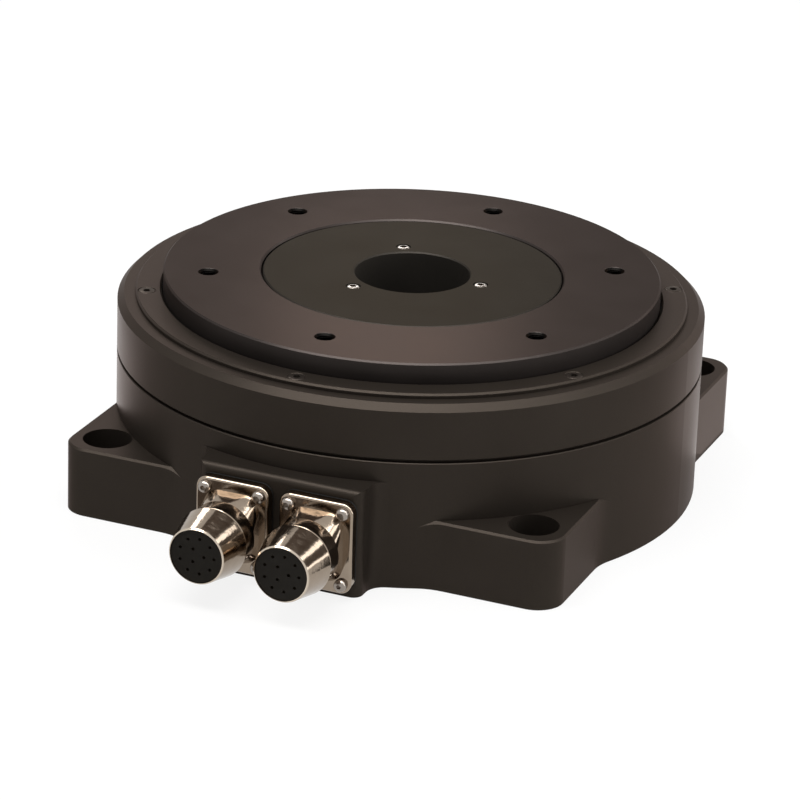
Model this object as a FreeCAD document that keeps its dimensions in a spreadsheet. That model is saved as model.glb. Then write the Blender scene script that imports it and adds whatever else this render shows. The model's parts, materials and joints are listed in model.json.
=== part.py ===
"""Direct drive rotary table: a turning table on a crossed roller bearing, with its ring motor and encoder.

Millimetres, +Z up. The origin is where the axis of rotation meets the plane that the base stands on, and
the connectors point along -Y.
"""
import FreeCAD, Part
import math
import os
from types import SimpleNamespace

import Sketcher

V = FreeCAD.Vector
TINY = 1e-6
LEVEL_TOLERANCE = 1e-4

SIZES = {
    # Round body, from the outside inwards
    "body_diameter": 180.0,
    "wall": 11.0,
    "register_wall": 3.8,
    "register_depth": 2.5,
    "clamp_land": 7.5,
    "bearing_section": 12.5,
    "neck_wall": 14.0,
    # Heights of the round body
    "floor_thickness": 7.0,
    "joint_height": 39.6,
    "ring_height": 17.9,
    "groove_height": 1.0,
    "groove_depth": 1.5,
    "joint_edge": 0.2,
    "ring_edge": 2.0,
    # Square ears of the base
    "flat_inset": 10.0,
    "ear_height": 21.7,
    "ear_corner": 8.5,
    "ear_blend": 18.0,
    "ear_edge": 0.6,
    "base_hole_inset": 11.0,
    "base_hole": 9.0,
    "base_counterbore": 15.0,
    "base_counterbore_depth": 9.0,
    # Connector pad on the front
    "pad_width": 52.0,
    "pad_stand": 6.0,
    "pad_height": 33.4,
    "pad_corner": 3.0,
    "pad_blend": 6.0,
    "pad_edge": 1.8,
    "lead_pocket_width": 42.0,
    "lead_pocket_depth": 8.0,
    "lead_pocket_height": 13.0,
    "lead_pocket_reach": 5.0,
    # Seal and its retainer ring
    "rim_width": 5.5,
    "retainer_width": 7.9,
    "retainer_thickness": 1.5,
    "retainer_edge": 0.55,
    "retainer_screw_inset": 3.4,
    "retainer_screw_count": 6,
    "seal_width": 3.1,
    "seal_height": 2.0,
    "lip_thickness": 2.0,
    "lip_reach": 4.0,
    # Turning table
    "table_rise": 7.5,
    "table_gap": 0.5,
    "table_edge": 0.5,
    "table_hole_circle": 125.0,
    "table_hole_count": 6,
    "table_hole": 5.0,
    "table_hole_mouth": 6.4,
    "table_hole_depth": 7.5,
    "shoulder_reach": 5.0,
    "first_hole_angle": 28.6,
    # Centre disc and fixed tube
    "through_bore": 35.4,
    "tube_wall": 2.8,
    "collar_wall": 9.0,
    "collar_height": 7.0,
    "cover_diameter": 91.6,
    "cover_thickness": 3.7,
    "cover_drop": 0.3,
    "cover_edge": 0.4,
    "cover_screw_circle": 45.0,
    "cover_screw_count": 3,
    "cover_screw_length": 9.0,
    "felt_width": 2.4,
    "felt_groove": 1.5,
    "felt_inset": 0.8,
    "tube_flange_width": 17.5,
    "tube_flange_thickness": 3.2,
    "tube_flange_sink": 0.3,
    "floor_land": 8.0,
    "tube_screw_count": 6,
    # Crossed roller bearing
    "bearing_width": 12.0,
    "roller_diameter": 5.5,
    "roller_length": 5.3,
    "roller_pairs": 18,
    "roller_gap": 0.2,
    "ring_split": 1.0,
    "spacer_diameter": 3.4,
    "spacer_gap": 0.36,
    # Bearing clamps
    "clamp_thickness": 4.0,
    "clamp_reach": 5.0,
    "clamp_screw_count": 12,
    "carrier_screw_count": 12,
    # Ring motor
    "winding_room": 5.0,
    "core_stack": 12.0,
    "core_shoulder": 3.0,
    "back_iron": 7.2,
    "tooth_length": 13.1,
    "tooth_width": 9.0,
    "tooth_count": 18,
    "shoe_width": 17.0,
    "shoe_thickness": 1.6,
    "coil_side": 4.6,
    "coil_end": 4.0,
    "coil_corner": 3.0,
    "coil_gap": 0.3,
    "coil_root_gap": 1.0,
    "air_gap": 0.6,
    "magnet_thickness": 2.8,
    "magnet_width": 16.0,
    "magnet_count": 20,
    "magnet_overhang": 0.5,
    "yoke_thickness": 3.7,
    "sleeve_wall": 2.55,
    "sleeve_lip": 1.0,
    # Encoder
    "scale_thickness": 4.5,
    "scale_height": 6.0,
    "read_gap": 0.8,
    "head_width": 12.0,
    "head_depth": 10.5,
    "head_height": 7.0,
    "bracket_margin": 2.0,
    "bracket_height": 5.0,
    "encoder_screw_spacing": 7.0,
    "encoder_screw_grip": 2.8,
    # Connectors
    "connector_spacing": 26.6,
    "connector_height": 16.4,
    "gasket_thickness": 0.6,
    "flange_width": 23.2,
    "flange_height": 28.4,
    "flange_thickness": 3.0,
    "flange_corner": 3.6,
    "flange_edge": 0.8,
    "flange_screw_spacing_x": 17.2,
    "flange_screw_spacing_z": 22.4,
    "boss_width": 17.6,
    "boss_height": 21.6,
    "boss_corner": 4.8,
    "boss_length": 6.0,
    "boss_end": 18.6,
    "boss_end_flat": 0.4,
    "collar_diameter": 20.4,
    "collar_length": 5.8,
    "neck_diameter": 17.2,
    "neck_length": 0.9,
    "barrel_back_diameter": 21.8,
    "barrel_diameter": 17.4,
    "barrel_wall": 0.6,
    "barrel_length": 11.0,
    "barrel_edge": 0.4,
    "insert_recess": 0.4,
    "insert_length": 20.0,
    "insert_step": 1.6,
    "tail_diameter": 15.0,
    "tail_length": 7.0,
    "contact_diameter": 0.8,
    "contact_recess": 1.2,
    "contact_tail": 3.0,
    "inner_contact_circle": 4.6,
    "inner_contact_count": 3,
    "outer_contact_circle": 11.0,
    "outer_contact_count": 9,
    "motor_lead": 3.6,
    "encoder_lead": 2.0,
    "lead_bend": 5.0,
    # Screws: M3 and M4 sizes, and the connectors' M2.5
    "thread_3": 3.0,
    "cap_head_3": 5.5,
    "cap_height_3": 3.0,
    "flat_head_3": 5.4,
    "flat_height_3": 1.3,
    "thread_4": 4.0,
    "cap_head_4": 7.0,
    "cap_height_4": 4.0,
    "flat_head_4": 7.4,
    "flat_height_4": 1.9,
    "flange_thread": 2.4,
    "flange_head": 3.9,
    "flange_head_height": 1.8,
    "thread_small": 2.5,
    "cap_head_small": 4.4,
    "cap_height_small": 1.9,
    "screw_grip": 6.0,
    "housing_screw_count": 8,
    "housing_screw_inset": 5.3,
    "housing_screw_grip": 8.0,
    "housing_screw_angle": 22.5,
    "clamp_screw_angle": 15.0,
    "head_sink": 1.0,
    "thread_run_out": 1.0,
    "o_ring_section": 1.4,
    "o_ring_inset": 1.7,
    # Clearances
    "fit_gap": 0.1,
    "run_gap": 0.5,
    "screw_gap": 0.1,
    "soft_gap": 0.3,
}


class Size:
    """A length that knows its present number and how it follows from the sheet."""

    def __init__(self, number, text):
        self.number = number
        self.text = text

    def __add__(self, other):
        return Size(self.number + number(other), f"({self.text} + {text(other)})")

    def __radd__(self, other):
        return self + other

    def __sub__(self, other):
        return Size(self.number - number(other), f"({self.text} - {text(other)})")

    def __rsub__(self, other):
        return Size(other - self.number, f"({other} - {self.text})")

    def __mul__(self, other):
        return Size(self.number * number(other), f"({self.text} * {text(other)})")

    def __rmul__(self, other):
        return self * other

    def __truediv__(self, other):
        return Size(self.number / number(other), f"({self.text} / {text(other)})")

    def __rtruediv__(self, other):
        return Size(other / self.number, f"({other} / {self.text})")

    def __neg__(self):
        return Size(-self.number, f"(0 - {self.text})")


def number(size):
    return size.number if isinstance(size, Size) else float(size)


def text(size):
    return size.text if isinstance(size, Size) else repr(size)


def bind(thing, path, size):
    """Tie a property or constraint to the sheet; a bare number is left as it is."""
    if isinstance(size, Size):
        thing.setExpression(path, size.text)


doc = FreeCAD.newDocument("rotary_table")
sheet = doc.addObject("Spreadsheet::Sheet", "Dims")
for row, (alias, value) in enumerate(SIZES.items(), start=1):
    sheet.set(f"A{row}", alias)
    sheet.set(f"B{row}", str(value))
    sheet.setAlias(f"B{row}", alias)
doc.recompute()
dim = SimpleNamespace(**{alias: Size(float(sheet.get(alias)), f"Dims.{alias}") for alias in SIZES})

# Radii of the round body, from the outside inwards
body_radius = dim.body_diameter / 2
bore_radius = body_radius - dim.wall
register_inner = bore_radius - dim.register_wall
bearing_outer = register_inner - dim.clamp_land
bearing_inner = bearing_outer - dim.bearing_section
bearing_pitch = (bearing_outer + bearing_inner) / 2
neck_inner = bearing_inner - dim.neck_wall
retainer_outer = body_radius - dim.rim_width
retainer_inner = retainer_outer - dim.retainer_width
table_radius = retainer_inner - dim.table_gap
seal_outer = retainer_inner + dim.seal_width
retainer_screw_ring = retainer_outer - dim.retainer_screw_inset
housing_screw_ring = body_radius - dim.housing_screw_inset
lip_inner = bearing_outer - dim.lip_reach
clamp_inner = bearing_outer - dim.clamp_reach
clamp_screw_ring = (register_inner + bearing_outer) / 2
shoulder_radius = bearing_inner + dim.shoulder_reach

# Radii of the motor and encoder
stator_outer = bore_radius - dim.fit_gap
tooth_root = stator_outer - dim.back_iron
coil_outer = tooth_root - dim.coil_root_gap
gap_radius = tooth_root - dim.tooth_length
magnet_outer = gap_radius - dim.air_gap
magnet_inner = magnet_outer - dim.magnet_thickness
yoke_inner = magnet_inner - dim.yoke_thickness
sleeve_outer = yoke_inner - dim.fit_gap
sleeve_inner = sleeve_outer - dim.sleeve_wall
carrier_screw_ring = (neck_inner + sleeve_inner) / 2
scale_outer = sleeve_inner - dim.fit_gap
scale_inner = scale_outer - dim.scale_thickness

# Radii of the fixed tube
bore_wall = dim.through_bore / 2
tube_outer = bore_wall + dim.tube_wall
collar_outer = bore_wall + dim.collar_wall
tube_flange_outer = tube_outer + dim.tube_flange_width
floor_opening = tube_flange_outer - dim.floor_land
tube_screw_ring = tube_flange_outer - dim.floor_land / 2
cover_radius = dim.cover_diameter / 2

# Levels, from the floor up
core_bottom = dim.floor_thickness + dim.winding_room
core_top = core_bottom + dim.core_stack
ring_top = dim.joint_height + dim.ring_height
lip_top = ring_top - dim.seal_height
bearing_top = lip_top - dim.lip_thickness
bearing_bottom = bearing_top - dim.bearing_width
bearing_middle = (bearing_top + bearing_bottom) / 2
clamp_bottom = bearing_bottom - dim.clamp_thickness
table_underside = lip_top + dim.run_gap
table_top = ring_top + dim.table_rise
cover_top = table_top - dim.cover_drop
cover_bottom = cover_top - dim.cover_thickness
magnet_bottom = core_bottom - dim.magnet_overhang
magnet_top = core_top + dim.magnet_overhang
sleeve_bottom = magnet_bottom - dim.sleeve_lip
tube_flange_top = dim.tube_flange_sink + dim.tube_flange_thickness

# The connector pad's face, as a distance in front of the axis
pad_face = body_radius + dim.pad_stand

parts = []


def new_body(label):
    body = doc.addObject("PartDesign::Body", label)
    body.Label = label
    body.AllowCompound = True
    parts.append(body)
    return body


def origin_of(body, role):
    return next(feature for feature in body.Origin.OriginFeatures if feature.Role == role)


def new_sketch(body, name, plane="XY_Plane", offset=0, turn=0):
    """Sketch on one of the body's own planes, moved along its normal and turned about its own y axis."""
    sketch = body.newObject("Sketcher::SketchObject", f"{body.Label}_{name}")
    sketch.AttachmentSupport = [(origin_of(body, plane), "")]
    sketch.MapMode = "FlatFace"
    turned_by = FreeCAD.Rotation(V(0, 1, 0), number(turn))
    sketch.AttachmentOffset = FreeCAD.Placement(V(0, 0, number(offset)), turned_by)
    bind(sketch, "AttachmentOffset.Base.z", offset)
    bind(sketch, "AttachmentOffset.Rotation.Angle", turn)
    return sketch


def fix_point(sketch, x, y, geometry, position):
    """Hold a point of the sketch at x and y from its origin."""
    for kind, size in (("DistanceX", x), ("DistanceY", y)):
        rule = Sketcher.Constraint(kind, -1, 1, geometry, position, number(size))
        index = sketch.addConstraint(rule)
        bind(sketch, f"Constraints[{index}]", size)


def fix_radius(sketch, geometry, radius):
    index = sketch.addConstraint(Sketcher.Constraint("Radius", geometry, number(radius)))
    bind(sketch, f"Constraints[{index}]", radius)


def circle(sketch, x, y, radius):
    shape = Part.Circle(V(number(x), number(y), 0), V(0, 0, 1), number(radius))
    index = sketch.addGeometry(shape)
    fix_point(sketch, x, y, index, 3)
    fix_radius(sketch, index, radius)


def outline(sketch, corners):
    """Closed run of lines through the corners. A corner's third value, where it has one, is its radius."""
    count = len(corners)
    spots = [V(number(corner[0]), number(corner[1]), 0) for corner in corners]
    starts = list(spots)
    ends = spots[1:] + spots[:1]
    middles = {}
    for i, corner in enumerate(corners):
        if len(corner) == 2:
            continue
        back = (spots[i - 1] - spots[i]).normalize()
        onward = (spots[(i + 1) % count] - spots[i]).normalize()
        half_angle = back.getAngle(onward) / 2
        radius = number(corner[2])
        ends[i - 1] = spots[i] + back * (radius / math.tan(half_angle))
        starts[i] = spots[i] + onward * (radius / math.tan(half_angle))
        middles[i] = spots[i] + (back + onward).normalize() * (radius / math.sin(half_angle))
    lines = [sketch.addGeometry(Part.LineSegment(a, b)) for a, b in zip(starts, ends)]
    for i, corner in enumerate(corners):
        if i in middles:
            round_corner(sketch, corner, lines[i - 1], lines[i], middles[i], ends[i - 1], starts[i])
        else:
            sketch.addConstraint(Sketcher.Constraint("Coincident", lines[i - 1], 2, lines[i], 1))
            fix_point(sketch, corner[0], corner[1], lines[i], 1)


def round_corner(sketch, corner, line_in, line_out, middle, arrive, leave):
    """Arc between two lines, tangent to both, with the sharp corner kept as a construction point."""
    arrive_angle = math.atan2(arrive.y - middle.y, arrive.x - middle.x)
    leave_angle = math.atan2(leave.y - middle.y, leave.x - middle.x)
    turns_left = math.sin(leave_angle - arrive_angle) > 0
    first, last = (arrive_angle, leave_angle) if turns_left else (leave_angle, arrive_angle)
    if last < first:
        last += 2 * math.pi
    arrive_end, leave_end = (1, 2) if turns_left else (2, 1)
    whole = Part.Circle(middle, V(0, 0, 1), number(corner[2]))
    arc = sketch.addGeometry(Part.ArcOfCircle(whole, first, last))
    sketch.addConstraint(Sketcher.Constraint("Tangent", line_in, 2, arc, arrive_end))
    sketch.addConstraint(Sketcher.Constraint("Tangent", arc, leave_end, line_out, 1))
    fix_radius(sketch, arc, corner[2])
    sharp = sketch.addGeometry(Part.Point(V(number(corner[0]), number(corner[1]), 0)), True)
    fix_point(sketch, corner[0], corner[1], sharp, 1)
    sketch.addConstraint(Sketcher.Constraint("PointOnObject", sharp, 1, line_in))
    sketch.addConstraint(Sketcher.Constraint("PointOnObject", sharp, 1, line_out))


def rectangle(x_low, x_high, y_low, y_high, radius=None):
    """Corners of a rectangle, all with the same radius if one is given."""
    rounding = () if radius is None else (radius,)
    ends = [(x_low, y_low), (x_high, y_low), (x_high, y_high), (x_low, y_high)]
    return [end + rounding for end in ends]


def turn(body, name, corners, cut=False, axis="V_Axis", angle=0, plane="XZ_Plane", offset=0):
    """Turn a closed profile of (radius, height) corners round an axis, to add metal or to cut it away."""
    sketch = new_sketch(body, name, plane, offset=offset, turn=angle)
    outline(sketch, corners)
    kind = "PartDesign::Groove" if cut else "PartDesign::Revolution"
    feature = body.newObject(kind, f"{body.Label}_{name}_turned")
    feature.Profile = sketch
    feature.ReferenceAxis = (sketch, [axis])
    feature.Angle = 360
    sketch.Visibility = False
    return feature


def pad(body, name, sketch, length, reverse=False):
    feature = body.newObject("PartDesign::Pad", f"{body.Label}_{name}")
    feature.Profile = sketch
    feature.Reversed = reverse
    feature.Length = number(length)
    bind(feature, "Length", length)
    return feature


def loft(body, name, first, last):
    feature = body.newObject("PartDesign::AdditiveLoft", f"{body.Label}_{name}")
    feature.Profile = first
    feature.Sections = [last]
    return feature


def pocket(body, name, sketch, depth, reverse=False):
    feature = body.newObject("PartDesign::Pocket", f"{body.Label}_{name}")
    feature.Profile = sketch
    feature.Reversed = reverse
    feature.Length = number(depth)
    bind(feature, "Length", depth)
    return feature


def around(body, features, count):
    """Repeat features evenly round the body's Z axis."""
    pattern = body.newObject("PartDesign::PolarPattern", f"{features[0].Name}_ring")
    pattern.Originals = features
    pattern.Axis = (origin_of(body, "Z_Axis"), [""])
    pattern.Angle = 360
    pattern.Occurrences = int(number(count))
    bind(pattern, "Occurrences", count)
    body.Tip = pattern
    return pattern


def hole_ring(body, name, ring, steps, count, angle=0):
    """Ring of upright round holes. steps are (radius, height) from one end of a hole to the other."""
    corners = [(ring, steps[0][1])]
    corners += [(ring + radius, height) for radius, height in steps]
    corners += [(ring, steps[-1][1])]
    drilled = turn(body, name, corners, cut=True, axis=f"Edge{len(corners)}", angle=angle)
    return around(body, [drilled], count)


def screw_ring(label, ring, steps, count, angle=0):
    """Ring of like screws in one body. steps are (radius, height) from one end of a screw to the other."""
    body = new_body(label)
    corners = [(ring, steps[0][1])]
    corners += [(ring + radius, height) for radius, height in steps]
    corners += [(ring, steps[-1][1])]
    turned = turn(body, "screw", corners, axis=f"Edge{len(corners)}", angle=angle)
    around(body, [turned], count)
    return body


def upright_edges(feature, wanted):
    """Names of the feature's upright straight edges whose place passes the test."""
    names = []
    for index, edge in enumerate(feature.Shape.Edges, start=1):
        first = edge.Vertexes[0].Point
        last = edge.Vertexes[-1].Point
        upright = abs(first.x - last.x) < TINY and abs(first.y - last.y) < TINY
        if upright and abs(first.z - last.z) > TINY and wanted(first):
            names.append(f"Edge{index}")
    return names


def level_edges(feature, level, wanted=lambda spot: True):
    """Names of the feature's edges that lie at one height and whose middle passes the test."""
    names = []
    for index, edge in enumerate(feature.Shape.Edges, start=1):
        box = edge.BoundBox
        off_level = max(abs(box.ZMin - number(level)), abs(box.ZMax - number(level)))
        middle = edge.valueAt((edge.FirstParameter + edge.LastParameter) / 2)
        if off_level < LEVEL_TOLERANCE and wanted(middle):
            names.append(f"Edge{index}")
    return names


def chamfer(body, name, base, edges, size):
    feature = body.newObject("PartDesign::Chamfer", f"{body.Label}_{name}")
    feature.Base = (base, edges)
    feature.Size = number(size)
    bind(feature, "Size", size)
    return feature


def fillet(body, name, base, edges, radius):
    feature = body.newObject("PartDesign::Fillet", f"{body.Label}_{name}")
    feature.Base = (base, edges)
    feature.Radius = number(radius)
    bind(feature, "Radius", radius)
    return feature


def half(size):
    return size / 2


# Base with its ears, round body and connector pad

def flange_screw_places(centre_x=0, centre_y=0):
    """The four screw places of a connector flange, about its centre."""
    across = half(dim.flange_screw_spacing_x)
    up = half(dim.flange_screw_spacing_z)
    return [(centre_x + sx * across, centre_y + sy * up) for sx in (-1, 1) for sy in (-1, 1)]


def on_round_body(spot):
    return abs(math.hypot(spot.x, spot.y) - number(body_radius)) < TINY


def make_base_housing():
    body = new_body("base_housing")
    joint_rim = body_radius - dim.joint_edge
    turn(body, "round_body", [
        (0, 0), (body_radius, 0), (body_radius, dim.joint_height - dim.joint_edge),
        (joint_rim, dim.joint_height), (0, dim.joint_height)])

    flat = body_radius - dim.flat_inset
    ears = new_sketch(body, "ears")
    outline(ears, rectangle(-flat, flat, -flat, flat, dim.ear_corner))
    ear_block = pad(body, "ear_block", ears, dim.ear_height)
    doc.recompute()
    ear_rim = level_edges(ear_block, dim.ear_height, lambda spot: not on_round_body(spot))
    ear_block = chamfer(body, "ear_rims", ear_block, ear_rim, dim.ear_edge)
    doc.recompute()
    at_ear = upright_edges(ear_block, lambda spot: on_round_body(spot) and abs(spot.x * spot.y) > TINY)
    fillet(body, "ear_blends", ear_block, at_ear, dim.ear_blend)

    pad_sketch = new_sketch(body, "connector_pad")
    side = half(dim.pad_width)
    corner = dim.pad_corner
    outline(pad_sketch, [
        (-side, -bore_radius), (-side, -pad_face, corner), (side, -pad_face, corner), (side, -bore_radius)])
    pad_block = pad(body, "connector_block", pad_sketch, dim.pad_height)
    doc.recompute()
    at_pad = upright_edges(
        pad_block, lambda spot: on_round_body(spot) and abs(abs(spot.x) - number(side)) < TINY)
    fillet(body, "pad_blends", pad_block, at_pad, dim.pad_blend)
    reach = side + dim.pad_blend
    top = dim.pad_height
    edge = dim.pad_edge
    rim = new_sketch(body, "pad_rim", "YZ_Plane", offset=-reach)
    outline(rim, [
        (-pad_face - edge, top - 2 * edge), (-pad_face, top - 2 * edge), (-pad_face, top, edge),
        (-pad_face + 2 * edge, top), (-pad_face + 2 * edge, top + edge), (-pad_face - edge, top + edge)])
    pocket(body, "pad_rim_cut", rim, 2 * reach, reverse=True)

    shoulder = bore_radius - dim.core_shoulder
    recess = tube_flange_outer + dim.fit_gap
    turn(body, "cavity", [
        (0, 0), (recess, 0), (recess, tube_flange_top), (floor_opening, tube_flange_top),
        (floor_opening, dim.floor_thickness), (shoulder, dim.floor_thickness), (shoulder, core_bottom),
        (bore_radius, core_bottom), (bore_radius, dim.joint_height), (0, dim.joint_height)], cut=True)
    groove_low = dim.joint_height - dim.o_ring_section - dim.screw_gap
    groove_middle = bore_radius + dim.o_ring_inset
    groove_half = half(dim.o_ring_section) + dim.fit_gap
    turn(body, "o_ring_groove", rectangle(groove_middle - groove_half, groove_middle + groove_half,
                                          groove_low, dim.joint_height), cut=True)

    ear_hole = flat - dim.base_hole_inset
    counterbore_floor = dim.ear_height - dim.base_counterbore_depth
    cuts = (("counterbore", dim.ear_height, dim.base_counterbore_depth, dim.base_counterbore),
            ("base_hole", counterbore_floor, counterbore_floor, dim.base_hole))
    for name, level, depth, diameter in cuts:
        sketch = new_sketch(body, name, offset=level)
        for sx in (-1, 1):
            for sy in (-1, 1):
                circle(sketch, sx * ear_hole, sy * ear_hole, half(diameter))
        pocket(body, f"{name}_cut", sketch, depth)

    head_space = half(dim.cap_head_4) + 2 * dim.screw_gap
    hole = half(dim.thread_4) + 2 * dim.screw_gap
    seat = dim.cap_height_4 + dim.head_sink
    steps = [(head_space, 0), (head_space, seat), (hole, seat), (hole, dim.joint_height)]
    hole_ring(body, "housing_screw_holes", housing_screw_ring, steps, dim.housing_screw_count,
              angle=dim.housing_screw_angle)
    hole = half(dim.thread_4) + dim.screw_gap
    steps = [(hole, tube_flange_top), (hole, dim.floor_thickness)]
    hole_ring(body, "tube_screw_holes", tube_screw_ring, steps, dim.tube_screw_count)

    make_connector_openings(body)
    encoder_holes = new_sketch(body, "encoder_screw_holes", offset=dim.floor_thickness)
    for x, y in encoder_screw_places():
        circle(encoder_holes, x, y, half(dim.thread_small) + dim.screw_gap)
    pocket(body, "encoder_screw_cut", encoder_holes, dim.encoder_screw_grip)
    return body


def make_connector_openings(body):
    """Openings for the connectors' tails, their screw holes, and the pocket where the leads bend down."""
    wall = pad_face - bore_radius
    openings = new_sketch(body, "connector_openings", "XZ_Plane", offset=pad_face)
    screws = new_sketch(body, "flange_screw_holes", "XZ_Plane", offset=pad_face)
    for side in (-1, 1):
        x = side * half(dim.connector_spacing)
        circle(openings, x, dim.connector_height, half(dim.tail_diameter) + dim.fit_gap)
        for screw_x, screw_z in flange_screw_places(x, dim.connector_height):
            circle(screws, screw_x, screw_z, half(dim.flange_thread) + dim.screw_gap)
    pocket(body, "connector_opening_cut", openings, wall)
    pocket(body, "flange_screw_cut", screws, dim.screw_grip + dim.thread_run_out)

    leads = new_sketch(body, "lead_pocket", offset=dim.floor_thickness)
    side = half(dim.lead_pocket_width)
    inner = bore_radius - dim.lead_pocket_reach
    outline(leads, rectangle(-side, side, -(bore_radius + dim.lead_pocket_depth), -inner))
    pocket(body, "lead_pocket_cut", leads, dim.lead_pocket_height, reverse=True)


# Upper ring, its seal and the retainer on top of it

def make_upper_housing():
    body = new_body("upper_housing")
    register_outer = bore_radius - dim.fit_gap
    register_low = dim.joint_height - dim.register_depth
    groove_inner = body_radius - dim.groove_depth
    groove_rim = body_radius - dim.joint_edge
    groove_top = dim.joint_height + dim.groove_height
    land = bearing_bottom + dim.fit_gap
    bore = bearing_outer + dim.fit_gap
    turn(body, "ring", [
        (register_inner, register_low), (register_outer, register_low), (register_outer, dim.joint_height),
        (groove_inner, dim.joint_height), (groove_inner, groove_top), (groove_rim, groove_top),
        (body_radius, groove_top + dim.joint_edge), (body_radius, ring_top - dim.ring_edge),
        (body_radius - dim.ring_edge, ring_top), (seal_outer, ring_top), (seal_outer, lip_top),
        (lip_inner, lip_top), (lip_inner, bearing_top), (bore, bearing_top), (bore, land),
        (register_inner, land)])
    hole = half(dim.thread_3) + dim.screw_gap
    hole_ring(body, "retainer_screw_holes", retainer_screw_ring,
              [(hole, ring_top - dim.screw_grip - dim.thread_run_out), (hole, ring_top)],
              dim.retainer_screw_count, angle=dim.first_hole_angle)
    hole_ring(body, "clamp_screw_holes", clamp_screw_ring,
              [(hole, land), (hole, land + dim.screw_grip)], dim.clamp_screw_count,
              angle=dim.clamp_screw_angle)
    hole = half(dim.thread_4) + dim.screw_gap
    top = dim.joint_height + dim.housing_screw_grip + dim.thread_run_out
    hole_ring(body, "housing_screw_holes", housing_screw_ring, [(hole, dim.joint_height), (hole, top)],
              dim.housing_screw_count, angle=dim.housing_screw_angle)
    return body


def make_housing_joint():
    ring = doc.addObject("Part::Torus", "housing_o_ring")
    ring.Label = "housing_o_ring"
    section = half(dim.o_ring_section)
    bind(ring, "Radius1", bore_radius + dim.o_ring_inset)
    bind(ring, "Radius2", section)
    bind(ring, "Placement.Base.z", dim.joint_height - section - half(dim.screw_gap))
    parts.append(ring)

    low = dim.head_sink
    seat = low + dim.cap_height_4
    head = half(dim.cap_head_4)
    thread = half(dim.thread_4)
    steps = [(head, low), (head, seat), (thread, seat), (thread, dim.joint_height + dim.housing_screw_grip)]
    screw_ring("housing_screws", housing_screw_ring, steps, dim.housing_screw_count,
               angle=dim.housing_screw_angle)


def make_retainer():
    body = new_body("seal_retainer_ring")
    top = ring_top + dim.retainer_thickness
    edge = dim.retainer_edge
    turn(body, "ring", [
        (retainer_inner, ring_top), (retainer_outer, ring_top), (retainer_outer, top - edge),
        (retainer_outer - edge, top), (retainer_inner + edge, top), (retainer_inner, top - edge)])
    head = half(dim.flat_head_3) + dim.screw_gap
    hole = half(dim.thread_3) + dim.screw_gap
    neck = top - dim.flat_height_3
    hole_ring(body, "screw_holes", retainer_screw_ring, [(hole, ring_top), (hole, neck), (head, top)],
              dim.retainer_screw_count, angle=dim.first_hole_angle)

    head = half(dim.flat_head_3)
    thread = half(dim.thread_3)
    steps = [(thread, ring_top - dim.screw_grip), (thread, neck), (head, top)]
    screw_ring("seal_retainer_screws", retainer_screw_ring, steps, dim.retainer_screw_count,
               angle=dim.first_hole_angle)

    seal = new_body("table_lip_seal")
    lip = table_radius + dim.soft_gap
    outer = seal_outer - dim.fit_gap
    thin = half(dim.seal_height)
    turn(seal, "section", [
        (lip, ring_top), (lip, ring_top - thin / 2), (retainer_inner + thin, lip_top + thin),
        (retainer_inner + thin, lip_top), (outer, lip_top), (outer, ring_top)])


# Turning table with the bearing seat below it

def make_rotary_table():
    body = new_body("rotary_table")
    cover_bore = cover_radius + dim.run_gap
    cover_floor = cover_bottom - dim.run_gap
    neck = bearing_inner - dim.fit_gap
    neck_bottom = bearing_bottom + dim.fit_gap
    edge = dim.table_edge
    turn(body, "table", [
        (neck_inner, neck_bottom), (neck, neck_bottom), (neck, bearing_top), (shoulder_radius, bearing_top),
        (shoulder_radius, table_underside), (table_radius, table_underside), (table_radius, table_top - edge),
        (table_radius - edge, table_top), (cover_bore + edge, table_top), (cover_bore, table_top - edge),
        (cover_bore, cover_floor), (neck_inner, cover_floor)])
    mouth = half(dim.table_hole_mouth)
    hole = half(dim.table_hole)
    low = table_top - dim.table_hole_depth
    steps = [(hole, low), (hole, table_top - (mouth - hole)), (mouth, table_top)]
    hole_ring(body, "table_holes", half(dim.table_hole_circle), steps, dim.table_hole_count,
              angle=dim.first_hole_angle)
    hole = half(dim.thread_3) + dim.screw_gap
    hole_ring(body, "carrier_screw_holes", carrier_screw_ring,
              [(hole, neck_bottom), (hole, neck_bottom + dim.screw_grip)], dim.carrier_screw_count)
    return body


# Centre disc and the fixed tube that carries it

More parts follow.
